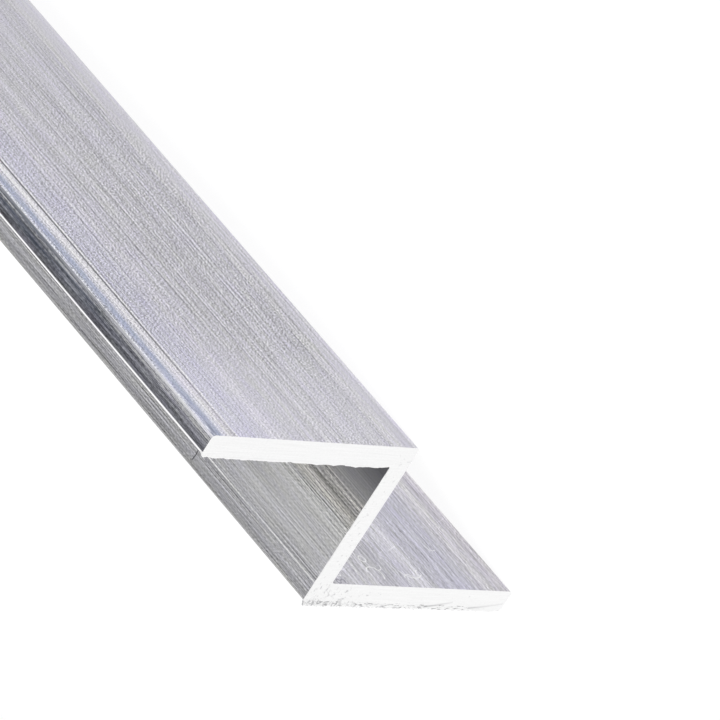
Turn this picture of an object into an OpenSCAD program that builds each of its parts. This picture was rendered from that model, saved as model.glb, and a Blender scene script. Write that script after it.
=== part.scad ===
// Aluminium Z-section bar, mill finish, sawn square at both ends.
// The section lies in XZ and the bar runs along Y. It lies as it comes to rest on a
// level floor at Z = 0, on the tip of the upper flange and the heel of the lower one,
// with the middle of the web above the origin.

/* [Section] */
// Width of the upper flange, from the far face of the web to its tip
upper_flange_w = 30; // [15:0.5:60]
// Width of the lower flange, from the far face of the web to its tip
lower_flange_w = 30; // [15:0.5:60]
// Height over both flanges
profile_h = 20; // [14:0.5:60]
// Thickness of the upper flange
upper_flange_t = 2.5; // [1.5:0.1:4]
// Thickness of the lower flange
lower_flange_t = 2.5; // [1.5:0.1:4]
// Thickness of the web
web_t = 2.5; // [1.5:0.1:4]

/* [Edges] */
// Radius of the rounded outside corners
corner_r = 0.5; // [0.1:0.05:0.7]
// Radius of the fillets where the flanges meet the web
fillet_r = 0.3; // [0.1:0.05:1.5]

/* [Bar] */
// Length of the bar
bar_l = 500; // [100:10:3000]

/* [Hidden] */
$fn = 48;

// The section is drawn upright, with the middle of the web at the origin:
// the web's two faces, the flanges' tips, and both faces of each flange
web_left_x = -web_t / 2;
web_right_x = web_t / 2;
upper_tip_x = web_right_x - upper_flange_w;
lower_tip_x = web_left_x + lower_flange_w;
top_y = profile_h / 2;
bottom_y = -profile_h / 2;
upper_inner_y = top_y - upper_flange_t;
lower_inner_y = bottom_y + lower_flange_t;

// The roll that brings the upper flange's tip down to the floor beside the heel,
// and the height of the middle of the web when both roundings touch the floor
rest_roll = atan2(upper_inner_y - bottom_y, web_left_x - upper_tip_x);
heel = [web_left_x + corner_r, bottom_y + corner_r];
rest_height = corner_r - heel[0] * sin(rest_roll) - heel[1] * cos(rest_roll);

// Sliver between a square corner at the origin, which opens towards +X and +Y,
// and the arc that rounds it: taken off an outside corner, filled in at an inside one
module corner_sliver(r) {
    difference() {
        square(r);
        translate([r, r]) circle(r);
    }
}

// Corner slivers at a list of places, each [x, y, quarter turns]
module corners_at(places, r) {
    for (place = places)
        translate([place[0], place[1]])
            rotate(90 * place[2])
                corner_sliver(r);
}

// Web and flanges with square corners
module square_section() {
    translate([web_left_x, bottom_y])
        square([web_t, profile_h]);
    translate([upper_tip_x, upper_inner_y])
        square([upper_flange_w, upper_flange_t]);
    translate([web_left_x, bottom_y])
        square([lower_flange_w, lower_flange_t]);
}

// The section as the die shapes it
module z_section() {
    outside_corners = [
        [upper_tip_x, upper_inner_y, 0],
        [upper_tip_x, top_y, 3],
        [web_right_x, top_y, 2],
        [lower_tip_x, lower_inner_y, 2],
        [lower_tip_x, bottom_y, 1],
        [web_left_x, bottom_y, 0]
    ];
    inside_corners = [
        [web_left_x, upper_inner_y, 2],
        [web_right_x, lower_inner_y, 0]
    ];
    difference() {
        square_section();
        corners_at(outside_corners, corner_r);
    }
    corners_at(inside_corners, fillet_r);
}

// The bar: one extrusion, cut to length and laid on the floor
module z_profile() {
    color("#c9c8d0")
        rotate([90, 0, 0])
            linear_extrude(height = bar_l, center = true)
                translate([0, rest_height])
                    rotate(rest_roll)
                        z_section();
}

z_profile();
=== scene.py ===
import math

import bpy
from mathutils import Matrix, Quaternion, Vector


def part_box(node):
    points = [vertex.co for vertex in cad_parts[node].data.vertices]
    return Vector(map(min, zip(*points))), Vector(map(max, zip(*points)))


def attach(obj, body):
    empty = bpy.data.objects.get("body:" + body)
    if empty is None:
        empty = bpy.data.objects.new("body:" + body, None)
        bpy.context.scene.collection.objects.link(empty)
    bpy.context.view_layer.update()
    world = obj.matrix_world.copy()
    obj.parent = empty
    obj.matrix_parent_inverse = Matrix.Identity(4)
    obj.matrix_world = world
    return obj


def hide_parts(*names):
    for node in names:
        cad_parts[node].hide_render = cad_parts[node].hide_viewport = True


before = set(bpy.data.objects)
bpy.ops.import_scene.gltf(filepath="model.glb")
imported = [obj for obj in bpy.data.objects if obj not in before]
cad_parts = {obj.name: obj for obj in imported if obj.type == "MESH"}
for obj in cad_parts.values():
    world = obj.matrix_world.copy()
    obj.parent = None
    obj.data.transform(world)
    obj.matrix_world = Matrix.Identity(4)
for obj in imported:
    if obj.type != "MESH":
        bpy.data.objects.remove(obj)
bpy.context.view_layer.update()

scene = bpy.context.scene
scene.view_settings.view_transform = "Standard"

# The bar
# One length of bare aluminium with a right-angled Z section: two equal flanges on opposite sides of a web.
# It lies as it comes to rest, on the tip of its upper flange and the heel of its lower one.
mm = 0.001
flange_w = 30 * mm
profile_h = 20 * mm
wall = 2.5 * mm
corner_r = 0.5 * mm
fillet_r = 0.3 * mm
low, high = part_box("z_profile")
bar_l = high.y - low.y
web_reach = wall / 2
flange_reach = flange_w - web_reach
half_h = profile_h / 2
rest_roll = math.atan2(profile_h - wall, flange_w - wall)
heel = Vector((corner_r - web_reach, corner_r - half_h))
rest_height = corner_r - heel.x * math.sin(rest_roll) - heel.y * math.cos(rest_roll)
half_outline = [
    (-web_reach, -half_h, corner_r),
    (flange_reach, -half_h, corner_r),
    (flange_reach, wall - half_h, corner_r),
    (web_reach, wall - half_h, fillet_r),
]
outline = half_outline + [(-across, -up, radius) for across, up, radius in half_outline]

# Its extruded skin
# The hot metal drags along the die, so its marks run along the bar: broad bands, fine lines and a drawn
# grain. Handling adds scratches and scuffs that lie across them. Each kind of face has its own finish,
# and the two halves of the section share it. Some colour bands are painted light, not marks: painted
# shade in the web's inner corner, on its rounded heel and in scored grooves, and painted highlights on
# raised scores and rounded edges.


def place(tree, kind, inputs=None, **settings):
    """Puts one node in a tree. A socket given as an input is linked, and anything else is its value."""
    made = tree.nodes.new(kind)
    for name, value in settings.items():
        setattr(made, name, value)
    for socket, value in (inputs or {}).items():
        if isinstance(value, bpy.types.NodeSocket):
            tree.links.new(value, made.inputs[socket])
        else:
            made.inputs[socket].default_value = value
    return made


def maths(tree, operation, *values):
    """One sum in a tree: its output socket."""
    return place(tree, "ShaderNodeMath", dict(enumerate(values)), operation=operation).outputs[0]


def vector(tree, x=0.0, y=0.0, z=0.0):
    """Three numbers as one vector: its output socket."""
    return place(tree, "ShaderNodeCombineXYZ", {"X": x, "Y": y, "Z": z}).outputs[0]


def scaled(tree, value, factor):
    """A vector or a colour times a number: its output socket."""
    return place(tree, "ShaderNodeVectorMath", {0: value, "Scale": factor}, operation="SCALE").outputs[0]


def ranged(tree, value, first, last, start=0.0, end=1.0, curve="LINEAR"):
    """A level that goes from start to end as a value goes from first to last: its output socket."""
    return place(tree, "ShaderNodeMapRange", {
        "Value": value, "From Min": first, "From Max": last, "To Min": start, "To Max": end,
    }, interpolation_type=curve).outputs["Result"]


def noise(tree, spot, detail, roughness=0.5):
    """Noise from 0 to 1, in cells about one unit across: its output socket."""
    return place(tree, "ShaderNodeTexNoise", {
        "Vector": spot, "Scale": 1.0, "Detail": detail, "Roughness": roughness,
    }).outputs["Fac"]


def effect_group(name, inputs, outputs):
    """An empty shader group with float sockets. Returns it, what it is given and what it puts out."""
    group = bpy.data.node_groups.new(name, "ShaderNodeTree")
    for socket in inputs:
        group.interface.new_socket(name=socket, in_out="INPUT", socket_type="NodeSocketFloat")
    for socket in outputs:
        group.interface.new_socket(name=socket, in_out="OUTPUT", socket_type="NodeSocketFloat")
    return group, group.nodes.new("NodeGroupInput").outputs, group.nodes.new("NodeGroupOutput").inputs


def ploughed(tree, given, width, length, seed, detail, spread):
    """Streaks as wide and as long as two inputs of a group say. The metal that a mark throws up stands as a
    lip beside it, so a share of the same streaks is taken off again a little further across.
    Returns the bare noise, and the streaks from about -1 to 1."""
    lip_aside = 2.0
    roughness = 0.6
    across = maths(tree, "DIVIDE", given["Across"], given[width])
    along = maths(tree, "DIVIDE", given["Along"], given[length])
    across_lip = maths(tree, "ADD", across, lip_aside)
    bare = noise(tree, vector(tree, across, along, seed), detail, roughness)
    beside = noise(tree, vector(tree, across_lip, along, seed), detail, roughness)
    streak = ranged(tree, bare, 0.5 - spread, 0.5 + spread, -1.0, 1.0)
    lip = ranged(tree, beside, 0.5 - spread, 0.5 + spread, -1.0, 1.0)
    return bare, maths(tree, "SUBTRACT", streak, maths(tree, "MULTIPLY", lip, given["Lip"]))


# Die lines: streaks side by side on the skin that fade in and out along the bar, and a few dark hairlines.
die_lines, given, result = effect_group(
    "die lines", ("Across", "Along", "Spacing", "Run", "Seed", "Lip"), ("Line", "Hairline"))
line_noise, line_streak = ploughed(die_lines, given, "Spacing", "Run", given["Seed"], detail=2.0, spread=0.2)
die_lines.links.new(line_streak, result["Line"])
die_lines.links.new(ranged(die_lines, line_noise, 0.6, 0.68), result["Hairline"])

# Drawn grain: short flecks stretched along the bar, a few of them bright.
drawn_grain, given, result = effect_group(
    "drawn grain", ("Across", "Along", "Width", "Length", "Lip"), ("Grain", "Fleck"))
grain_noise, grain_streak = ploughed(drawn_grain, given, "Width", "Length", 0.0, detail=1.0, spread=0.25)
drawn_grain.links.new(grain_streak, result["Grain"])
drawn_grain.links.new(ranged(drawn_grain, grain_noise, 0.76, 0.84), result["Fleck"])

# Handling marks: thin bright scratches that lie across the drawn grain, at one slant. Sizes in millimetres.
scratch_l = 4.0
scratch_w = 0.16
slant_marks, given, result = effect_group("slant marks", ("Across", "Along", "Slope", "Seed"), ("Mark",))
slide = maths(slant_marks, "MULTIPLY", given["Across"], given["Slope"])
slid = maths(slant_marks, "ADD", given["Along"], slide)
scratch_place = vector(
    slant_marks, maths(slant_marks, "DIVIDE", given["Across"], scratch_l),
    maths(slant_marks, "DIVIDE", slid, scratch_w), given["Seed"])
scratch_noise = noise(slant_marks, scratch_place, detail=1.0, roughness=0.4)
slant_marks.links.new(ranged(slant_marks, scratch_noise, 0.72, 0.8), result["Mark"])


def grouped(tree, group, **inputs):
    """Places an effect in a material with its own values: its output sockets."""
    named = {socket.replace("_", " "): value for socket, value in inputs.items()}
    return place(tree, "ShaderNodeGroup", named, node_tree=group).outputs


def tone(red, green, blue):
    """A colour as it is read off a screen, from 0 to 255, made linear for a shader."""
    def linear(level):
        share = level / 255
        return share / 12.92 if share <= 0.04045 else ((share + 0.055) / 1.055) ** 2.4
    return (linear(red), linear(green), linear(blue), 1.0)


def banded(tree, measure, bands):
    """A colour that changes with a length in millimetres. bands gives the colour at each place."""
    first, last = bands[0][0], bands[-1][0]
    ramp = place(tree, "ShaderNodeValToRGB", {"Fac": ranged(tree, measure, first, last)})
    stops = ramp.color_ramp.elements
    for position, shade in bands[1:-1]:
        stops.new((position - first) / (last - first)).color = tone(*shade)
    stops[0].color = tone(*bands[0][1])
    stops[len(stops) - 1].color = tone(*bands[-1][1])
    return ramp.outputs["Color"]


def mixed(tree, share, first, second):
    """The first colour, with that share of it given over to the second: its output socket."""
    colour_a, colour_b, colour_out = 6, 7, 2
    return place(tree, "ShaderNodeMix", {
        "Factor": share, colour_a: first, colour_b: second,
    }, data_type="RGBA").outputs[colour_out]


def extruded_skin(name, measured_by, bands, lines, grain, mark, rough, seed, polish=((0, 255), (1, 255)),
                  ends=(1.0, 1.0, 1.0, 1.0), lip=0.0, sheen=((0.985, 0.965, 1.045), (1.005, 1.015, 0.98))):
    """The finish of one kind of face, in millimetres. bands gives its colour by place.
    lines gives each kind of die line a spacing, a run, a strength and the strength of its dark hairlines.
    grain has a width, a length, a strength and the strength of its bright flecks.
    mark is the strength of scratches. polish is how strongly all these show by place, from 0 to 255.
    ends gives how much of them is left near a sawn end, how bright the skin is there and further in,
    and how much of them is left far along the bar.
    lip is the share of metal thrown up beside a mark, and sheen the cool and the warm cast of the oxide.
    rough is the roughness of darker and of brighter places. Returns what a later mark on it needs."""
    scratch_slopes = (0.5, -1.4)
    handled_range = (6.0, 20.0)
    paled_range = (4.0, 20.0)
    calmed_range = (38.0, 66.0)
    oxide_spacing = 0.6
    oxide_run = 4.0
    darkest = 0.2
    rough_range = (0.7, 1.3)
    material = bpy.data.materials.new(name)
    material.use_nodes = True
    tree = material.node_tree
    shader = tree.nodes["Principled BSDF"]
    die = place(tree, "ShaderNodeAttribute", attribute_name="die_position").outputs["Fac"]
    face = place(tree, "ShaderNodeAttribute", attribute_name=measured_by).outputs["Fac"]
    bar_axes = place(tree, "ShaderNodeSeparateXYZ", {0: place(tree, "ShaderNodeTexCoord").outputs["Object"]})
    die_mm = maths(tree, "DIVIDE", die, mm)
    face_mm = maths(tree, "DIVIDE", face, mm)
    along_mm = maths(tree, "DIVIDE", bar_axes.outputs["Y"], mm)
    from_end = maths(tree, "SUBTRACT", bar_l / mm / 2, maths(tree, "ABSOLUTE", along_mm))
    shade = 0.0
    relief = 0.0
    for spacing, run, strength, hairline_strength in lines:
        drawn = grouped(tree, die_lines, Across=die_mm, Along=along_mm, Spacing=spacing, Run=run,
                        Seed=seed + spacing, Lip=lip)
        shade = maths(tree, "MULTIPLY_ADD", drawn["Line"], strength, shade)
        shade = maths(tree, "MULTIPLY_ADD", drawn["Hairline"], -hairline_strength, shade)
        relief = maths(tree, "MULTIPLY_ADD", drawn["Line"], strength * spacing, relief)
    width, length, strength, fleck_strength = grain
    flecks = grouped(tree, drawn_grain, Across=die_mm, Along=along_mm, Width=width, Length=length, Lip=lip)
    shade = maths(tree, "MULTIPLY_ADD", flecks["Grain"], strength, shade)
    shade = maths(tree, "MULTIPLY_ADD", flecks["Fleck"], fleck_strength, shade)
    relief = maths(tree, "MULTIPLY_ADD", flecks["Grain"], strength * width, relief)
    for slope in scratch_slopes:
        scratch = grouped(tree, slant_marks, Across=die_mm, Along=along_mm, Slope=slope, Seed=seed + slope)
        shade = maths(tree, "MULTIPLY_ADD", scratch["Mark"], mark, shade)
    left, end_level, far_level, far_left = ends
    handled = ranged(tree, from_end, *handled_range, left, 1.0, "SMOOTHSTEP")
    paled = ranged(tree, from_end, *paled_range, end_level, far_level, "SMOOTHSTEP")
    calmed = ranged(tree, from_end, *calmed_range, 1.0, far_left, "SMOOTHSTEP")
    rubbed = banded(tree, face_mm, [(position, (level, level, level)) for position, level in polish])
    shade = maths(tree, "MULTIPLY", shade, handled)
    shade = maths(tree, "MULTIPLY", shade, calmed)
    shade = maths(tree, "MAXIMUM", maths(tree, "MULTIPLY_ADD", shade, rubbed, 1.0), darkest)
    shade = maths(tree, "MULTIPLY", shade, paled)
    oxide = grouped(tree, die_lines, Across=die_mm, Along=along_mm, Spacing=oxide_spacing, Run=oxide_run,
                    Seed=seed)["Line"]
    cool, warm = sheen
    cast = mixed(tree, maths(tree, "MULTIPLY_ADD", oxide, 0.5, 0.5), (*cool, 1.0), (*warm, 1.0))
    colour = place(tree, "ShaderNodeVectorMath", {
        0: scaled(tree, banded(tree, face_mm, bands), shade), 1: cast,
    }, operation="MULTIPLY").outputs["Vector"]
    tree.links.new(colour, shader.inputs["Base Color"])
    tree.links.new(ranged(tree, shade, *rough_range, *rough), shader.inputs["Roughness"])
    bump = place(tree, "ShaderNodeBump", {"Height": relief, "Strength": 0.3, "Distance": 0.1 * mm})
    tree.links.new(bump.outputs["Normal"], shader.inputs["Normal"])
    shader.inputs["Metallic"].default_value = 1.0
    return {"material": material, "tree": tree, "die": die_mm, "face": face_mm, "along": along_mm,
            "from end": from_end, "colour": colour, "shader": shader}


# Painted light in these bands: the palest colours on the rounded heel and tip edges and the light line on
# the real raised score at 25.28 mm are painted highlights. The darker lines at the real cut-in scores at
# 12.7 and 13.25 mm are painted shade in their grooves.
outer_skin = extruded_skin(
    "outer flange skin", "flange_position",
    [(-1.25, (234, 233, 238)), (-0.85, (221, 220, 226)), (0.9, (214, 213, 219)), (1.5, (209, 208, 212)),
     (2.7, (211, 210, 213)), (3.2, (200, 199, 205)), (7.0, (205, 204, 210)), (11.6, (202, 201, 206)),
     (11.9, (216, 215, 220)), (12.2, (202, 201, 206)), (12.4, (211, 210, 215)), (12.7, (194, 193, 198)),
     (13.0, (216, 215, 220)), (13.25, (178, 177, 182)), (13.5, (197, 196, 201)), (14.8, (208, 207, 212)),
     (15.2, (212, 211, 216)), (15.5, (203, 202, 207)), (17.4, (202, 201, 208)), (19.7, (216, 214, 222)),
     (22.1, (200, 199, 211)), (23.6, (207, 206, 218)), (25.1, (198, 197, 209)), (25.19, (240, 240, 245)),
     (25.35, (240, 240, 245)), (25.46, (206, 204, 211)), (26.0, (216, 214, 219)), (26.6, (223, 221, 227)),
     (27.0, (210, 210, 218)), (28.0, (194, 197, 211)), (28.4, (212, 215, 226)), (28.75, (236, 237, 242))],
    lines=((0.18, 40.0, 0.47, 0.25), (0.15, 8.0, 0.29, 0.6), (0.14, 1.4, 0.22, 0.0), (0.5, 120.0, 0.1, 0.0),
           (1.8, 320.0, 0.08, 0.0)),
    grain=(0.13, 0.24, 1.05, 0.8), mark=0.25, lip=0.3,
    rough=(0.28, 0.38), seed=3.0, ends=(0.54, 1.04, 0.93, 0.4),
    polish=((-1.25, 170), (0.8, 180), (1.6, 220), (3.2, 255), (11.0, 255), (15.0, 235), (25.0, 240),
            (28.75, 235)))
# The white from -7.82 to -7.5 mm, on the tip's rounded corner by the inner face, is a painted highlight.
# Polish keeps the marks faint there so that it stays unbroken.
tip_skin = extruded_skin(
    "flange tip skin", "web_position",
    [(-10.0, (204, 205, 208)), (-9.85, (206, 206, 208)), (-9.72, (190, 190, 192)), (-9.6, (184, 185, 188)),
     (-9.45, (222, 223, 227)), (-9.22, (232, 233, 237)), (-9.12, (210, 211, 217)), (-9.0, (163, 164, 170)),
     (-8.88, (158, 159, 166)), (-8.65, (191, 192, 199)), (-8.45, (143, 144, 150)), (-8.25, (126, 127, 134)),
     (-8.0, (145, 146, 152)), (-7.9, (150, 151, 155)), (-7.82, (255, 255, 255)), (-7.5, (255, 255, 255))],
    lines=((0.075, 6.0, 0.95, 0.1), (0.28, 120.0, 0.34, 0.0)),
    grain=(0.08, 0.5, 0.7, 0.15), mark=0.1,
    rough=(0.18, 0.24), seed=13.0, ends=(0.7, 1.22, 1.0, 1.0),
    polish=((-10.0, 90), (-9.75, 130), (-9.5, 255), (-8.05, 255), (-7.88, 30), (-7.5, 30)))
# Painted light in these bands: the dark from -7.5 to -3 mm is painted shade in the inner corner, and the
# darker colour from 9.1 to 10 mm is painted shade on the rounded heel corner. The light lines on the real
# raised scores at -2.2, -1.72, 7.51 and 8.06 mm are painted highlights, with painted shade on both sides of
# the one at 7.51 mm.
web_skin = extruded_skin(
    "web skin", "web_position",
    [(-7.5, (98, 98, 101)), (-6.3, (98, 98, 101)), (-4.8, (117, 117, 119)), (-3.0, (144, 144, 145)),
     (-2.3, (154, 153, 152)), (-2.2, (180, 178, 175)), (-2.1, (150, 149, 148)), (-1.8, (154, 153, 152)),
     (-1.74, (206, 204, 200)), (-1.68, (206, 204, 200)), (-1.6, (154, 153, 151)), (-0.95, (166, 165, 163)),
     (-0.68, (140, 139, 137)), (-0.5, (178, 176, 172)), (0.25, (184, 183, 180)), (0.9, (184, 184, 183)),
     (2.4, (195, 195, 195)), (3.4, (185, 185, 186)), (4.3, (183, 183, 184)), (5.25, (194, 194, 196)),
     (7.0, (185, 185, 187)), (7.42, (166, 166, 169)), (7.48, (222, 222, 222)), (7.52, (222, 222, 222)),
     (7.59, (158, 158, 161)), (8.0, (180, 180, 182)), (8.06, (206, 206, 207)), (8.14, (166, 166, 168)),
     (8.5, (184, 184, 187)), (9.1, (160, 160, 163)), (9.5, (174, 174, 175)), (10.0, (160, 160, 158))],
    lines=((0.075, 12.0, 0.66, 0.12), (0.22, 50.0, 0.22, 0.1), (1.8, 320.0, 0.07, 0.0)),
    grain=(0.1, 0.4, 0.46, 0.1), mark=0.2, lip=0.3, sheen=((0.99, 0.985, 1.025), (1.01, 1.01, 0.98)),
    rough=(0.42, 0.52), seed=23.0, ends=(1.1, 1.2, 1.12, 1.0),
    polish=((-7.5, 100), (-3.2, 132), (-2.3, 200), (-2.0, 255), (1.3, 255), (2.0, 190), (5.4, 180),
            (6.6, 205), (7.3, 225), (9.5, 225), (10.0, 160)))
inner_skin = extruded_skin(
    "inner flange skin", "flange_position",
    [(1.25, (196, 195, 202)), (4.0, (200, 199, 208)), (8.0, (209, 208, 215)), (9.0, (200, 199, 206)),
     (10.5, (191, 190, 199)), (12.0, (206, 205, 215)), (13.5, (200, 199, 210)), (14.25, (199, 198, 208)),
     (15.2, (213, 212, 220)), (16.5, (212, 211, 221)), (17.25, (203, 202, 214)), (18.75, (202, 201, 214)),
     (19.5, (198, 197, 210)), (20.6, (189, 188, 201)), (21.75, (199, 198, 211)), (22.5, (186, 185, 197)),
     (23.25, (196, 195, 205)), (24.0, (205, 203, 213)), (24.75, (217, 215, 223)), (25.5, (230, 228, 234)),
     (26.25, (202, 200, 208)), (27.0, (196, 193, 202)), (27.75, (210, 207, 215)), (28.75, (221, 219, 224))],
    lines=((0.16, 3.0, 0.3, 0.15), (0.28, 14.0, 0.22, 0.15), (0.7, 80.0, 0.11, 0.0),
           (2.2, 320.0, 0.11, 0.0)),
    grain=(0.13, 0.45, 0.3, 0.2), mark=0.3, lip=0.3, sheen=((0.985, 0.97, 1.01), (1.0, 1.01, 0.945)),
    rough=(0.28, 0.4), seed=37.0)


def recoloured(skin, share, colour):
    """Gives a share of a skin's colour over to another one."""
    skin["colour"] = mixed(skin["tree"], share, skin["colour"], tone(*colour))
    skin["tree"].links.new(skin["colour"], skin["shader"].inputs["Base Color"])


def tinted(skin, first, last, colour, least, most, run, kept, fade_l):
    """A soft band of colour along a face between two places on it in millimetres. Its share of the colour
    goes from least to most in patches of that run along the bar. kept is how much of it shows at a sawn end,
    and fade_l the length over which it comes to that. Some of these bands are painted shade and painted
    highlights."""
    tree = skin["tree"]
    patch_w = 0.16
    full_share = 0.3
    middle = (first + last) / 2
    half = (last - first) / 2
    off_middle = maths(tree, "ABSOLUTE", maths(tree, "SUBTRACT", skin["face"], middle))
    bell = ranged(tree, off_middle, half, half * full_share, curve="SMOOTHSTEP")
    patch = grouped(tree, die_lines, Across=skin["face"], Along=skin["along"], Spacing=patch_w, Run=run,
                    Seed=first)["Line"]
    amount = maths(tree, "MULTIPLY", bell, ranged(tree, patch, -1.0, 1.0, least, most))
    fade = ranged(tree, skin["from end"], 0.0, fade_l, kept, 1.0, "SMOOTHSTEP")
    recoloured(skin, maths(tree, "MULTIPLY", amount, fade), colour)


# Bands and scored lines: the skin, where each lies on it, its colour, its least and its most share, the
# run of its patches, how much of it shows at a sawn end, and the length over which it comes to that.
soft_bands_and_painted_light = (
    (outer_skin, 27.25, 28.6, (130, 138, 176), 0.0, 0.6, 1.4, 1.3, 6.0),
    (outer_skin, 27.2, 28.4, (140, 162, 184), 0.0, 0.35, 1.6, 0.5, 4.0),
    (outer_skin, 27.8, 29.0, (120, 124, 146), 0.0, 0.12, 2.0, 8.0, 14.0),
    (outer_skin, 26.0, 26.86, (255, 255, 255), 0.3, 0.7, 30.0, 0.0, 40.0),
    (outer_skin, 3.6, 5.7, (255, 255, 255), 0.0, 0.06, 5.0, 4.0, 18.0),
    (outer_skin, -0.9, 1.5, (150, 147, 160), 0.03, 0.11, 20.0, 4.0, 16.0),
    # Painted shade in the groove of the real cut-in score at 25.62 mm.
    (outer_skin, 25.42, 25.82, (16, 16, 20), 0.55, 0.9, 40.0, 0.25, 18.0),
    (tip_skin, -9.95, -9.42, (92, 97, 106), 0.5, 1.0, 12.0, 0.0, 40.0),
    (tip_skin, -9.32, -9.02, (92, 97, 106), 0.2, 0.7, 12.0, 0.0, 25.0),
    (tip_skin, -9.8, -8.1, (98, 112, 136), 0.0, 0.7, 8.0, 0.0, 32.0),
    # Painted highlight on the real raised score at 7.51 mm.
    (web_skin, 7.42, 7.6, (255, 255, 255), 0.1, 0.25, 20.0, 4.0, 9.0),
    (web_skin, 6.7, 6.92, (255, 255, 255), 0.0, 0.07, 20.0, 5.0, 9.0),
    (web_skin, 7.08, 7.36, (60, 60, 64), 0.0, 0.12, 20.0, 5.0, 6.0),
    (web_skin, 5.1, 5.4, (255, 255, 255), 0.0, 0.04, 20.0, 5.0, 9.0),
)
for soft_band in soft_bands_and_painted_light:
    tinted(*soft_band)

# Scuffs near one end: a few curled scratches on the ledge of the upper flange, and a nick on the web.
scuff, given, result = effect_group(
    "curled scratch",
    ("Across", "Along", "Centre across", "Centre along", "Radius", "Width", "Towards", "Sweep"), ("Mark",))
scuff_x = maths(scuff, "SUBTRACT", given["Across"], given["Centre across"])
scuff_y = maths(scuff, "SUBTRACT", given["Along"], given["Centre along"])
scuff_reach = maths(scuff, "SQRT", maths(
    scuff, "ADD", maths(scuff, "MULTIPLY", scuff_x, scuff_x), maths(scuff, "MULTIPLY", scuff_y, scuff_y)))
off_arc = maths(scuff, "ABSOLUTE", maths(scuff, "SUBTRACT", scuff_reach, given["Radius"]))
on_arc = ranged(scuff, off_arc, given["Width"], 0.0, curve="SMOOTHSTEP")
turned = maths(scuff, "SUBTRACT", maths(scuff, "ARCTAN2", scuff_y, scuff_x), given["Towards"])
sweep_cos = maths(scuff, "COSINE", given["Sweep"])
in_sweep = maths(scuff, "GREATER_THAN", maths(scuff, "COSINE", turned), sweep_cos)
scuff.links.new(maths(scuff, "MULTIPLY", on_arc, in_sweep), result["Mark"])


def curled(tree, across, along, arc):
    """One curled scratch: its centre across and along, its radius, its width, the direction from its centre
    and half its sweep, in millimetres and degrees."""
    centre_across, centre_along, radius, width, towards, sweep = arc
    return grouped(tree, scuff, Across=across, Along=along, Centre_across=centre_across,
                   Centre_along=centre_along, Radius=radius, Width=width, Towards=math.radians(towards),
                   Sweep=math.radians(sweep))["Mark"]


def scuffed(skin, stretch, arcs, colour, share):
    """Adds curled scratches of one colour to a skin, on one stretch of the way round the die."""
    tree = skin["tree"]
    from_near_end = maths(tree, "SUBTRACT", skin["along"], low.y / mm)
    total = 0.0
    for arc in arcs:
        total = maths(tree, "MAXIMUM", curled(tree, skin["face"], from_near_end, arc), total)
    on_stretch = maths(tree, "MULTIPLY", maths(tree, "GREATER_THAN", skin["die"], stretch[0]),
                       maths(tree, "LESS_THAN", skin["die"], stretch[1]))
    amount = maths(tree, "MULTIPLY", total, on_stretch)
    recoloured(skin, maths(tree, "MULTIPLY", amount, share), colour)


# Where the upper ledge and one side of the web lie on the way round the die, with some room at both ends.
upper_ledge = (100, 145)
one_side_of_web = (55, 82)
scuffed(inner_skin, upper_ledge, (
    (9.2, 4.2, 0.45, 0.12, 0, 180),
    (9.3, 1.9, 1.05, 0.12, 60, 110),
    (10.3, 3.2, 0.7, 0.1, -60, 70),
    (15.0, 3.4, 1.9, 0.12, -100, 55),
    (14.2, 1.2, 0.8, 0.1, 80, 80),
    (16.4, 2.2, 0.6, 0.1, 150, 60),
    (21.5, 6.7, 0.65, 0.1, -120, 70),
    (3.5, 1.5, 0.2, 0.14, 0, 180),
    (4.5, 2.5, 0.2, 0.14, 0, 180),
), (255, 255, 255), 0.75)
scuffed(inner_skin, upper_ledge, (
    (2.6, 0.45, 0.3, 0.14, 0, 180),
    (3.3, 0.5, 0.25, 0.12, 60, 120),
), (96, 92, 108), 0.7)
scuffed(web_skin, one_side_of_web, ((8.5, 24.0, 3.1, 0.12, -90, 12),), (60, 60, 64), 0.9)

# Its sawn ends
# A toothed saw cuts the bar to length. It leaves a bright rough face with fine marks along the cut, torn
# smears near the heel of the upper flange, where the teeth come out, and slips at one end.

# Torn marks: patches of one width and height that take up more of the face as their cover grows.
bare_limit = 0.75
cover_drop = 0.3
torn_edge = 0.1
torn_marks, given, result = effect_group(
    "torn marks", ("Across", "Up", "Width", "Height", "Cover"), ("Mark",))
torn_place = vector(
    torn_marks, maths(torn_marks, "DIVIDE", given["Across"], given["Width"]),
    maths(torn_marks, "DIVIDE", given["Up"], given["Height"]), given["Height"])
torn_noise = noise(torn_marks, torn_place, detail=2.0, roughness=0.6)
torn_limit = maths(torn_marks, "MULTIPLY_ADD", given["Cover"], -cover_drop, bare_limit)
torn_cut = ranged(torn_marks, torn_noise, torn_limit, maths(torn_marks, "ADD", torn_limit, torn_edge))
torn_marks.links.new(torn_cut, result["Mark"])

sawn_face = bpy.data.materials.new("sawn face")
sawn_face.use_nodes = True
sawn_tree = sawn_face.node_tree
sawn_shader = sawn_tree.nodes["Principled BSDF"]
upright = place(sawn_tree, "ShaderNodeMapping", {
    "Vector": place(sawn_tree, "ShaderNodeTexCoord").outputs["Object"],
    "Location": (0, 0, rest_height), "Rotation": (0, -rest_roll, 0),
}, vector_type="TEXTURE")
cut_axes = place(sawn_tree, "ShaderNodeSeparateXYZ", {0: upright.outputs["Vector"]}).outputs
cut_x = maths(sawn_tree, "DIVIDE", cut_axes["X"], mm)
cut_y = maths(sawn_tree, "DIVIDE", cut_axes["Z"], mm)
tooth_line = grouped(sawn_tree, die_lines, Across=cut_y, Along=cut_x, Spacing=0.14, Run=7.0,
                     Seed=51.0)["Line"]
tooth_grain = grouped(sawn_tree, drawn_grain, Across=cut_y, Along=cut_x, Width=0.16, Length=0.3)["Grain"]

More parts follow.
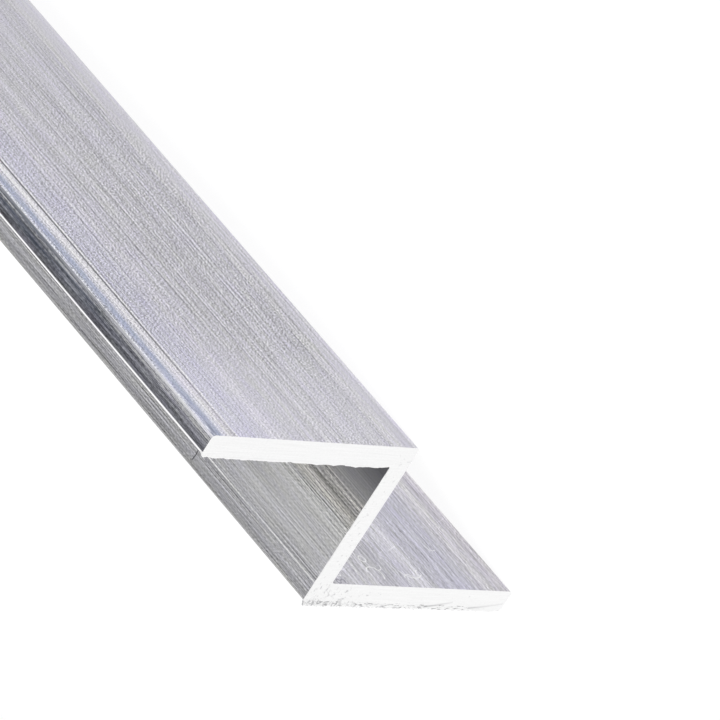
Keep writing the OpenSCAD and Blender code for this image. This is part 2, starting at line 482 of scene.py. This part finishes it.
# Where the cut is torn: at the heel of the upper flange, along that flange's outer edge, and on the web.
heel_zone = maths(sawn_tree, "MULTIPLY", ranged(sawn_tree, cut_x, -13.0, -4.0),
                  ranged(sawn_tree, cut_y, 6.4, 8.2))
edge_zone = maths(sawn_tree, "MULTIPLY", ranged(sawn_tree, cut_y, 9.3, 9.9),
                  ranged(sawn_tree, cut_x, -30.0, -22.0))
web_zone = ranged(sawn_tree, maths(sawn_tree, "ABSOLUTE", cut_x), 1.4, 1.1)
heel_cover = maths(sawn_tree, "MULTIPLY", heel_zone, 0.62)
smear_cover = maths(sawn_tree, "MULTIPLY", heel_zone,
                    maths(sawn_tree, "MULTIPLY_ADD", edge_zone, 0.4, 0.36))
edge_cover = maths(sawn_tree, "MULTIPLY", edge_zone, 0.75)
web_cover = maths(sawn_tree, "MULTIPLY", web_zone, 0.4)
# Each kind of patch has a width, a height, a cover and a depth.
torn_patches = (
    (0.5, 0.45, heel_cover, 0.28),
    (0.22, 0.8, smear_cover, 0.5),
    (0.8, 0.16, edge_cover, 0.65),
    (0.5, 0.4, web_cover, 0.2),
)
torn = 0.0
for width, height, cover, depth in torn_patches:
    patch = grouped(sawn_tree, torn_marks, Across=cut_x, Up=cut_y, Width=width, Height=height,
                    Cover=cover)["Mark"]
    torn = maths(sawn_tree, "MAXIMUM", torn, maths(sawn_tree, "MULTIPLY", patch, depth))
# Where the saw slipped it left two long arcs.
saw_slips = (
    (-11.5, -29.7, 40.0, 0.2, 100.6, 2.9),
    (-20.0, -29.96, 40.0, 0.2, 98.7, 3.55),
)
on_near_end = maths(sawn_tree, "LESS_THAN", cut_axes["Y"], 0.0)
slip_depth = maths(sawn_tree, "MULTIPLY", on_near_end,
                   maths(sawn_tree, "MULTIPLY_ADD", edge_zone, 0.3, 0.12))
for arc in saw_slips:
    slip = curled(sawn_tree, cut_x, cut_y, arc)
    torn = maths(sawn_tree, "MAXIMUM", torn, maths(sawn_tree, "MULTIPLY", slip, slip_depth))
cut_white = tone(250, 250, 250)[:3]
# The grey of the torn patches and slips is partly painted shade: the pits and ragged bits along the burr
# edge are dented by the bump, and are also painted darker where shade would fall in them.
torn_shade_grey = tone(112, 111, 116)
tooth_grain_strength = 0.02
tooth_line_strength = 0.025
tooth_line_relief = 0.15
cut_shade = maths(sawn_tree, "MULTIPLY_ADD", tooth_grain, tooth_grain_strength, 1.0)
cut_shade = maths(sawn_tree, "MULTIPLY_ADD", tooth_line, tooth_line_strength, cut_shade)
cut_colour = mixed(sawn_tree, torn, scaled(sawn_tree, cut_white, cut_shade), torn_shade_grey)
sawn_tree.links.new(cut_colour, sawn_shader.inputs["Base Color"])
cut_relief = maths(sawn_tree, "SUBTRACT", maths(sawn_tree, "MULTIPLY", tooth_line, tooth_line_relief), torn)
cut_bump = place(sawn_tree, "ShaderNodeBump", {"Height": cut_relief, "Strength": 0.4, "Distance": 0.05 * mm})
sawn_tree.links.new(cut_bump.outputs["Normal"], sawn_shader.inputs["Normal"])
sawn_shader.inputs["Metallic"].default_value = 1.0
sawn_shader.inputs["Roughness"].default_value = 0.6

# Pressing and sawing it
# The outline is the die's opening. The billet is pushed through it past both ends of the finished bar,
# the saw takes it to length, and the bar is then laid down as it rests.
bar_outline = bpy.data.meshes.new("bar outline")
bar_outline.from_pydata(
    [(across, up, 0) for across, up, radius in outline],
    [(corner, (corner + 1) % len(outline)) for corner in range(len(outline))], [])
radii = bar_outline.attributes.new("corner_r", "FLOAT", "POINT")
for corner, (across, up, radius) in enumerate(outline):
    radii.data[corner].value = radius

bar_tree = bpy.data.node_groups.new("extruded bar", "GeometryNodeTree")
bar_tree.is_modifier = True
bar_tree.interface.new_socket(name="Die outline", in_out="INPUT", socket_type="NodeSocketGeometry")
bar_sizes = {
    "Length": bar_l,
    "Saw margin": 5 * mm,
    "Outline step": 0.04 * mm,
    "Die wear": 0.003 * mm,
    "Saw mark depth": 0.03 * mm,
    "Burr height": 0.4 * mm,
    "Burr depth": 0.35 * mm,
    "Roll": rest_roll,
    "Rest height": rest_height,
}
size_sockets = {
    name: bar_tree.interface.new_socket(name=name, in_out="INPUT", socket_type="NodeSocketFloat")
    for name in bar_sizes
}
bar_tree.interface.new_socket(name="Bar", in_out="OUTPUT", socket_type="NodeSocketGeometry")
sizes = bar_tree.nodes.new("NodeGroupInput").outputs
finished = bar_tree.nodes.new("NodeGroupOutput").inputs


def store(tree, geometry, name, value, chosen=True):
    """Keeps a number on every chosen point under that name: the geometry."""
    return place(tree, "GeometryNodeStoreNamedAttribute", {
        "Geometry": geometry, "Selection": chosen, "Name": name, "Value": value,
    }, data_type="FLOAT", domain="POINT").outputs["Geometry"]


def stored(tree, name):
    """The number kept under that name: its output socket."""
    kept = place(tree, "GeometryNodeInputNamedAttribute", {"Name": name}, data_type="FLOAT")
    return kept.outputs["Attribute"]


def noise_round(tree, measure, cells, detail, roughness=0.5):
    """Noise from 0 to 1 that changes with one length alone, with so many cells to the metre."""
    return place(tree, "ShaderNodeTexNoise", {
        "W": measure, "Scale": cells, "Detail": detail, "Roughness": roughness,
    }, noise_dimensions="1D").outputs["Fac"]


# The die's opening: the outline with its corners rounded, worn a little and scored.
corners_as_drawn = place(bar_tree, "GeometryNodeMeshToCurve", {"Mesh": sizes["Die outline"]})
rounded = place(bar_tree, "GeometryNodeFilletCurve", {
    "Curve": corners_as_drawn.outputs["Curve"], "Count": 8, "Radius": stored(bar_tree, "corner_r"),
}, mode="POLY")
stepped = place(bar_tree, "GeometryNodeResampleCurve", {
    "Curve": rounded.outputs["Curve"], "Length": sizes["Outline step"],
}, mode="LENGTH")
round_section = place(bar_tree, "GeometryNodeSplineParameter").outputs["Length"]
die_tangent = place(bar_tree, "GeometryNodeInputTangent").outputs["Tangent"]
tangent_axes = place(bar_tree, "ShaderNodeSeparateXYZ", {0: die_tangent}).outputs
outward_x = tangent_axes["Y"]
outward_y = maths(bar_tree, "MULTIPLY", tangent_axes["X"], -1.0)
marked = store(bar_tree, stepped.outputs["Curve"], "die_position", round_section)
marked = store(bar_tree, marked, "faces_out", outward_x)
marked = store(bar_tree, marked, "faces_up", outward_y)
die_place = stored(bar_tree, "die_position")

section_place = place(bar_tree, "GeometryNodeInputPosition").outputs[0]
section_axes = place(bar_tree, "ShaderNodeSeparateXYZ", {0: section_place}).outputs
section_x, section_y = section_axes["X"], section_axes["Y"]
off_web = maths(bar_tree, "ABSOLUTE", section_x)
off_middle = maths(bar_tree, "ABSOLUTE", section_y)
flange_side = maths(bar_tree, "MULTIPLY", maths(bar_tree, "SIGN", section_y), -1.0)
beyond = {
    "flange": maths(bar_tree, "MULTIPLY", section_x, flange_side),
    "web": maths(bar_tree, "MULTIPLY", section_y, maths(bar_tree, "SIGN", section_x)),
}
is_outer = maths(bar_tree, "GREATER_THAN", off_middle, half_h - wall / 2)
is_web = maths(bar_tree, "LESS_THAN", off_web, wall)
square_on = 0.9
faces_across = maths(bar_tree, "GREATER_THAN", maths(bar_tree, "ABSOLUTE", outward_x), square_on)
faces_up_or_down = maths(bar_tree, "GREATER_THAN", maths(bar_tree, "ABSOLUTE", outward_y), square_on)
on_face = {
    "flange": maths(bar_tree, "MULTIPLY", is_outer, faces_up_or_down),
    "web": maths(bar_tree, "MULTIPLY", is_web, faces_across),
}
# Scores in the die: which face, how far along it, half its width, and how far it stands out or cuts in.
die_scores = (
    ("flange", 12.7, 0.1, -0.012),
    ("flange", 13.25, 0.1, -0.014),
    ("flange", 25.62, 0.12, -0.025),
    ("flange", 25.28, 0.08, 0.008),
    ("web", 7.51, 0.08, 0.02),
    ("web", 7.7, 0.1, -0.02),
    ("web", 8.06, 0.08, 0.012),
    ("web", -1.72, 0.06, 0.008),
    ("web", -2.2, 0.06, 0.006),
)
die_wear = maths(bar_tree, "SUBTRACT", noise_round(bar_tree, die_place, cells=4000.0, detail=3.0), 0.6)
stands_out = maths(bar_tree, "MULTIPLY", die_wear, sizes["Die wear"])
for face, position, half_width, height in die_scores:
    off_line = maths(bar_tree, "ABSOLUTE", maths(bar_tree, "SUBTRACT", beyond[face], position * mm))
    ridge = ranged(bar_tree, off_line, half_width * mm, 0.0, 0.0, height * mm)
    stands_out = maths(bar_tree, "MULTIPLY_ADD", ridge, on_face[face], stands_out)
die_opening = place(bar_tree, "GeometryNodeSetPosition", {
    "Geometry": marked, "Offset": scaled(bar_tree, vector(bar_tree, outward_x, outward_y), stands_out),
}).outputs["Geometry"]


def moved(tree, geometry, **change):
    """Geometry shifted, turned or scaled as a whole."""
    return place(tree, "GeometryNodeTransform", {"Geometry": geometry, **change}).outputs["Geometry"]


def flipped(tree, mesh):
    """A mesh with its faces turned round."""
    return place(tree, "GeometryNodeFlipFaces", {"Mesh": mesh}).outputs["Mesh"]


def joined(tree, *shells):
    """Several meshes as one."""
    join = place(tree, "GeometryNodeJoinGeometry")
    for shell in shells:
        tree.links.new(shell, join.inputs["Geometry"])
    return join.outputs["Geometry"]


def welded(tree, *shells):
    """Several meshes as one, with the points that meet made one point."""
    weld_gap = 0.0001 * mm
    return place(tree, "GeometryNodeMergeByDistance", {
        "Geometry": joined(tree, *shells), "Distance": weld_gap,
    }).outputs["Geometry"]


# The billet: the die's opening drawn out past both saw cuts, and closed at both ends.
billet_l = maths(bar_tree, "ADD", sizes["Length"], maths(bar_tree, "MULTIPLY", sizes["Saw margin"], 2.0))
to_near_end = vector(bar_tree, z=maths(bar_tree, "MULTIPLY", billet_l, 0.5))
to_far_end = scaled(bar_tree, to_near_end, -1.0)
rim = place(bar_tree, "GeometryNodeCurveToMesh", {"Curve": die_opening}).outputs["Mesh"]
billet_side = place(bar_tree, "GeometryNodeExtrudeMesh", {
    "Mesh": moved(bar_tree, rim, Translation=to_near_end), "Offset": to_far_end, "Offset Scale": 2.0,
}, mode="EDGES").outputs["Mesh"]
blank_end = place(bar_tree, "GeometryNodeFillCurve", {"Curve": die_opening}, mode="NGONS").outputs["Mesh"]
near_end = moved(bar_tree, blank_end, Translation=to_near_end)
far_end = moved(bar_tree, flipped(bar_tree, blank_end), Translation=to_far_end)
billet = welded(bar_tree, billet_side, near_end, far_end)

# The saw's kerf at each end, with the tooth marks on the side that faces the bar.
kerf_margin = 4 * mm
kerf_step = 0.2 * mm
kerf_x = 2 * flange_reach + kerf_margin
kerf_y = profile_h + kerf_margin
tooth_cells = (300.0, 4000.0, 1.0)
to_saw = vector(bar_tree, z=maths(bar_tree, "MULTIPLY", sizes["Length"], 0.5))
kerf_plane = place(bar_tree, "GeometryNodeMeshGrid", {
    "Size X": kerf_x, "Size Y": kerf_y,
    "Vertices X": int(kerf_x / kerf_step), "Vertices Y": int(kerf_y / kerf_step),
})
tooth_spot = place(bar_tree, "ShaderNodeVectorMath", {
    0: section_place, 1: tooth_cells,
}, operation="MULTIPLY").outputs["Vector"]
tooth_marks = noise(bar_tree, tooth_spot, detail=3.0)
tooth_depth = maths(bar_tree, "MULTIPLY", tooth_marks, sizes["Saw mark depth"])
kerf_side = place(bar_tree, "GeometryNodeSetPosition", {
    "Geometry": kerf_plane.outputs["Mesh"],
    "Offset": vector(bar_tree, z=maths(bar_tree, "MULTIPLY", tooth_depth, -1.0)),
}).outputs["Geometry"]
kerf_top = place(bar_tree, "GeometryNodeExtrudeMesh", {
    "Mesh": kerf_side, "Offset": vector(bar_tree, z=1.0),
    "Offset Scale": maths(bar_tree, "MULTIPLY", sizes["Saw margin"], 2.0), "Individual": False,
}, mode="FACES").outputs["Mesh"]
kerf = welded(bar_tree, kerf_top, flipped(bar_tree, kerf_side))
near_cut = moved(bar_tree, kerf, Translation=to_saw)
far_cut = moved(bar_tree, near_cut, Rotation=(math.pi, 0, 0))
sawn = place(bar_tree, "GeometryNodeMeshBoolean", {
    "Mesh 1": billet, "Mesh 2": joined(bar_tree, near_cut, far_cut),
}, operation="DIFFERENCE", solver="MANIFOLD").outputs["Mesh"]

# Places on the section, for the materials: round the die, out along a flange, and along the web to a heel.
die_sample = place(bar_tree, "GeometryNodeSampleNearestSurface", {
    "Mesh": billet_side, "Value": die_place,
}, data_type="FLOAT").outputs["Value"]
marked_bar = store(bar_tree, sawn, "die_position", die_sample)
marked_bar = store(bar_tree, marked_bar, "flange_position", beyond["flange"])
marked_bar = store(bar_tree, marked_bar, "web_position", beyond["web"])

# Each kind of face takes its own finish, and a later one in this list goes over those before it.
bar_normal = place(bar_tree, "GeometryNodeInputNormal").outputs["Normal"]
facing = place(bar_tree, "ShaderNodeSeparateXYZ", {0: bar_normal}).outputs
is_end = maths(bar_tree, "GREATER_THAN", maths(bar_tree, "ABSOLUTE", facing["Z"]), 0.5)
is_broad_side = maths(bar_tree, "GREATER_THAN", maths(bar_tree, "ABSOLUTE", facing["Y"]), 0.7)
is_tip = maths(bar_tree, "GREATER_THAN", off_web, flange_w / 2)
finishes = (
    (web_skin["material"], True),
    (tip_skin["material"], is_tip),
    (inner_skin["material"], is_broad_side),
    (outer_skin["material"], maths(bar_tree, "MULTIPLY", is_broad_side, is_outer)),
    (sawn_face, is_end),
)
finished_bar = marked_bar
for finish, chosen in finishes:
    finished_bar = place(bar_tree, "GeometryNodeSetMaterial", {
        "Geometry": finished_bar, "Selection": chosen, "Material": finish,
    }).outputs["Geometry"]

# The burr: a ragged fin that stands out from the sawn edges on the side where the teeth come out. It runs
# along both flanges and one side of the web, and dies away round the flanges' corners.
least_fin = 0.004 * mm
fin_front_l = 0.05 * mm
fin_thinning = 0.85
heel_extra = 0.5
web_burr_share = 0.35
web_depth_cut = 0.7
burr_out = stored(bar_tree, "faces_out")
burr_up = stored(bar_tree, "faces_up")
burr_way = vector(bar_tree, burr_out, burr_up)
flange_edge = maths(bar_tree, "GREATER_THAN", burr_up, 0.25)
web_edge = maths(bar_tree, "MULTIPLY", is_web, ranged(bar_tree, burr_out, 0.5, 0.95))
burr_edge = place(bar_tree, "GeometryNodeSeparateGeometry", {
    "Geometry": rim, "Selection": maths(bar_tree, "MAXIMUM", flange_edge, web_edge),
}, domain="POINT")
burr_tear = noise_round(bar_tree, die_place, cells=2200.0, detail=3.0, roughness=0.7)
burr_wave = noise_round(bar_tree, die_place, cells=500.0, detail=2.0)
burr_share = ranged(bar_tree, burr_tear, 0.25, 0.75, 0.2, 1.0)
burr_roll = maths(bar_tree, "MULTIPLY_ADD", burr_wave, 0.9, maths(bar_tree, "MULTIPLY", burr_share, 0.25))
from_tip = ranged(bar_tree, off_web, flange_reach + 0.5 * mm, flange_reach - 1.5 * mm)
from_web = ranged(bar_tree, off_web, web_reach, web_reach + 2 * mm)
near_heel = ranged(bar_tree, section_x, -20 * mm, -1 * mm)
on_upper = maths(bar_tree, "GREATER_THAN", section_y, 0.0)
on_lower = maths(bar_tree, "SUBTRACT", 1.0, on_upper)
torn_share = maths(bar_tree, "MULTIPLY_ADD", near_heel, heel_extra, burr_share)
torn_height = maths(bar_tree, "MULTIPLY", maths(bar_tree, "MULTIPLY", torn_share, from_tip), on_upper)
rolled_height = maths(bar_tree, "MULTIPLY", maths(bar_tree, "MULTIPLY", burr_roll, from_web), on_lower)
flange_burr = maths(bar_tree, "MULTIPLY", maths(bar_tree, "ADD", torn_height, rolled_height),
                    ranged(bar_tree, burr_up, 0.4, 0.95))
web_burr = maths(bar_tree, "MULTIPLY", ranged(bar_tree, burr_wave, 0.35, 0.65), web_burr_share)
burr_size = place(bar_tree, "ShaderNodeMix", {
    "Factor": web_edge, "A": flange_burr, "B": web_burr,
}, data_type="FLOAT").outputs["Result"]
burr_height = maths(bar_tree, "MULTIPLY", burr_size, sizes["Burr height"])
burr_height = maths(bar_tree, "MAXIMUM", burr_height, least_fin)
burr_depth = maths(bar_tree, "MULTIPLY", sizes["Burr depth"],
                   maths(bar_tree, "MULTIPLY_ADD", web_edge, -web_depth_cut, 1.0))
fin_front = place(bar_tree, "GeometryNodeExtrudeMesh", {
    "Mesh": burr_edge.outputs["Selection"], "Offset Scale": burr_height, "Offset": burr_way,
}, mode="EDGES")
fin_tops = store(bar_tree, fin_front.outputs["Mesh"], "fin_height", burr_height, fin_front.outputs["Top"])
fin_back = place(bar_tree, "GeometryNodeExtrudeMesh", {
    "Mesh": flipped(bar_tree, fin_tops), "Individual": False,
    "Offset Scale": burr_depth, "Offset": vector(bar_tree, z=-1.0),
}, mode="FACES").outputs["Mesh"]
fin_fall = maths(bar_tree, "MULTIPLY", stored(bar_tree, "fin_height"), -fin_thinning)
fin = place(bar_tree, "GeometryNodeSetPosition", {
    "Geometry": welded(bar_tree, fin_back, fin_tops),
    "Selection": maths(bar_tree, "LESS_THAN", section_axes["Z"], -fin_front_l),
    "Offset": scaled(bar_tree, burr_way, fin_fall),
}).outputs["Geometry"]
near_burr = moved(bar_tree, fin, Translation=to_saw)
far_burr = flipped(bar_tree, moved(bar_tree, near_burr, Scale=(1, 1, -1)))
burrs = place(bar_tree, "GeometryNodeSetMaterial", {
    "Geometry": joined(bar_tree, near_burr, far_burr), "Material": sawn_face,
}).outputs["Geometry"]

# Bar and burrs are laid down, with flat faces so that the edges stay crisp.
laid = moved(
    bar_tree, joined(bar_tree, finished_bar, burrs),
    Rotation=vector(bar_tree, math.pi / 2, maths(bar_tree, "MULTIPLY", sizes["Roll"], -1.0)),
    Translation=vector(bar_tree, z=sizes["Rest height"]))
flat = place(bar_tree, "GeometryNodeSetShadeSmooth", {"Geometry": laid, "Shade Smooth": False})
whole = place(bar_tree, "GeometryNodeRealizeInstances", {"Geometry": flat.outputs["Geometry"]})
bar_tree.links.new(whole.outputs["Geometry"], finished["Bar"])

bar = bpy.data.objects.new("z_section_bar", bar_outline)
scene.collection.objects.link(bar)
press = bar.modifiers.new("extruded bar", "NODES")
press.node_group = bar_tree
for name, value in bar_sizes.items():
    press[size_sockets[name].identifier] = value
pressed = bpy.data.meshes.new_from_object(bar.evaluated_get(bpy.context.evaluated_depsgraph_get()))
bar.modifiers.remove(press)
bar.data = pressed
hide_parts("z_profile")
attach(bar, "root")

# The floor
# A plain white studio floor, wide enough to fill any view. Seen by the camera or in the metal it is white,
# less the bar's shadow.
floor_reach = 8.0
floor_grey = 0.16
floor_glow = 0.9
floor_mesh = bpy.data.meshes.new("floor")
floor_mesh.from_pydata(
    [(-floor_reach, -floor_reach, 0), (floor_reach, -floor_reach, 0),
     (floor_reach, floor_reach, 0), (-floor_reach, floor_reach, 0)], [], [(0, 1, 2, 3)])
floor = bpy.data.objects.new("floor", floor_mesh)
scene.collection.objects.link(floor)
floor_paint = bpy.data.materials.new("white floor")
floor_paint.use_nodes = True
floor_tree = floor_paint.node_tree
floor_tree.nodes.remove(floor_tree.nodes["Principled BSDF"])
floor_matt = place(floor_tree, "ShaderNodeBsdfDiffuse", {"Color": (floor_grey, floor_grey, floor_grey, 1)})
floor_ray = place(floor_tree, "ShaderNodeLightPath").outputs
seen = maths(floor_tree, "MAXIMUM", floor_ray["Is Camera Ray"], floor_ray["Is Glossy Ray"])
seen = maths(floor_tree, "MAXIMUM", seen, floor_ray["Is Transmission Ray"])
floor_light = place(floor_tree, "ShaderNodeEmission", {
    "Strength": maths(floor_tree, "MULTIPLY", seen, floor_glow),
})
floor_sum = place(floor_tree, "ShaderNodeAddShader", {0: floor_matt.outputs[0], 1: floor_light.outputs[0]})
floor_tree.links.new(floor_sum.outputs[0], floor_tree.nodes["Material Output"].inputs["Surface"])
floor_mesh.materials.append(floor_paint)

# The studio
# A white dome gives the soft light, with one dark flag high on the far side that the flange tip mirrors.
# The camera itself sees the dome as plain white.
dome_strength = 1.06
flag_strength = 0.4
flag_towards = Vector((0.415, 0.538, 0.734)).normalized()
flag_dark_cos = math.cos(math.radians(12))
flag_edge_cos = math.cos(math.radians(23))
dome = bpy.data.worlds.new("studio dome")
scene.world = dome
dome.use_nodes = True
dome_tree = dome.node_tree
dome_place = place(dome_tree, "ShaderNodeTexCoord").outputs["Generated"]
flag_cos = place(dome_tree, "ShaderNodeVectorMath", {0: dome_place, 1: flag_towards},
                 operation="DOT_PRODUCT").outputs["Value"]
flag_shade = ranged(dome_tree, flag_cos, flag_edge_cos, flag_dark_cos, dome_strength, flag_strength,
                    "SMOOTHSTEP")
dome_ray = place(dome_tree, "ShaderNodeLightPath").outputs
dome_level = place(dome_tree, "ShaderNodeMix", {
    "Factor": dome_ray["Is Camera Ray"], "A": flag_shade, "B": 1.0,
}, data_type="FLOAT")
backdrop = dome_tree.nodes["Background"]
backdrop.inputs["Color"].default_value = (1, 1, 1, 1)
dome_tree.links.new(dome_level.outputs["Result"], backdrop.inputs["Strength"])

# The camera
# A long lens close to the floor, off one sawn end. It is rolled about its own axis, as the picture is
# framed, so the bar seems to stand differently from how it rests.
image_side = 720
lens_px = 8277.3
view_turn = math.radians(57.359)
view_rise = math.radians(3.751)
view_roll = math.radians(-128.62)
view_distance = 797.63 * mm
aim = Vector((23.84 * mm, low.y, 0.12 * mm))
view_back = Vector((
    math.sin(view_turn) * math.cos(view_rise),
    -math.cos(view_turn) * math.cos(view_rise),
    math.sin(view_rise),
))
lens = bpy.data.cameras.new("camera")
lens.sensor_width = 36.0
lens.lens = lens_px / image_side * lens.sensor_width
lens.clip_start = 0.01
lens.clip_end = 100.0
camera = bpy.data.objects.new("camera", lens)
scene.collection.objects.link(camera)
camera.rotation_mode = "QUATERNION"
camera.rotation_quaternion = Quaternion(view_back, view_roll) @ view_back.to_track_quat("Z", "Y")
camera.location = aim + view_back * view_distance
scene.camera = camera
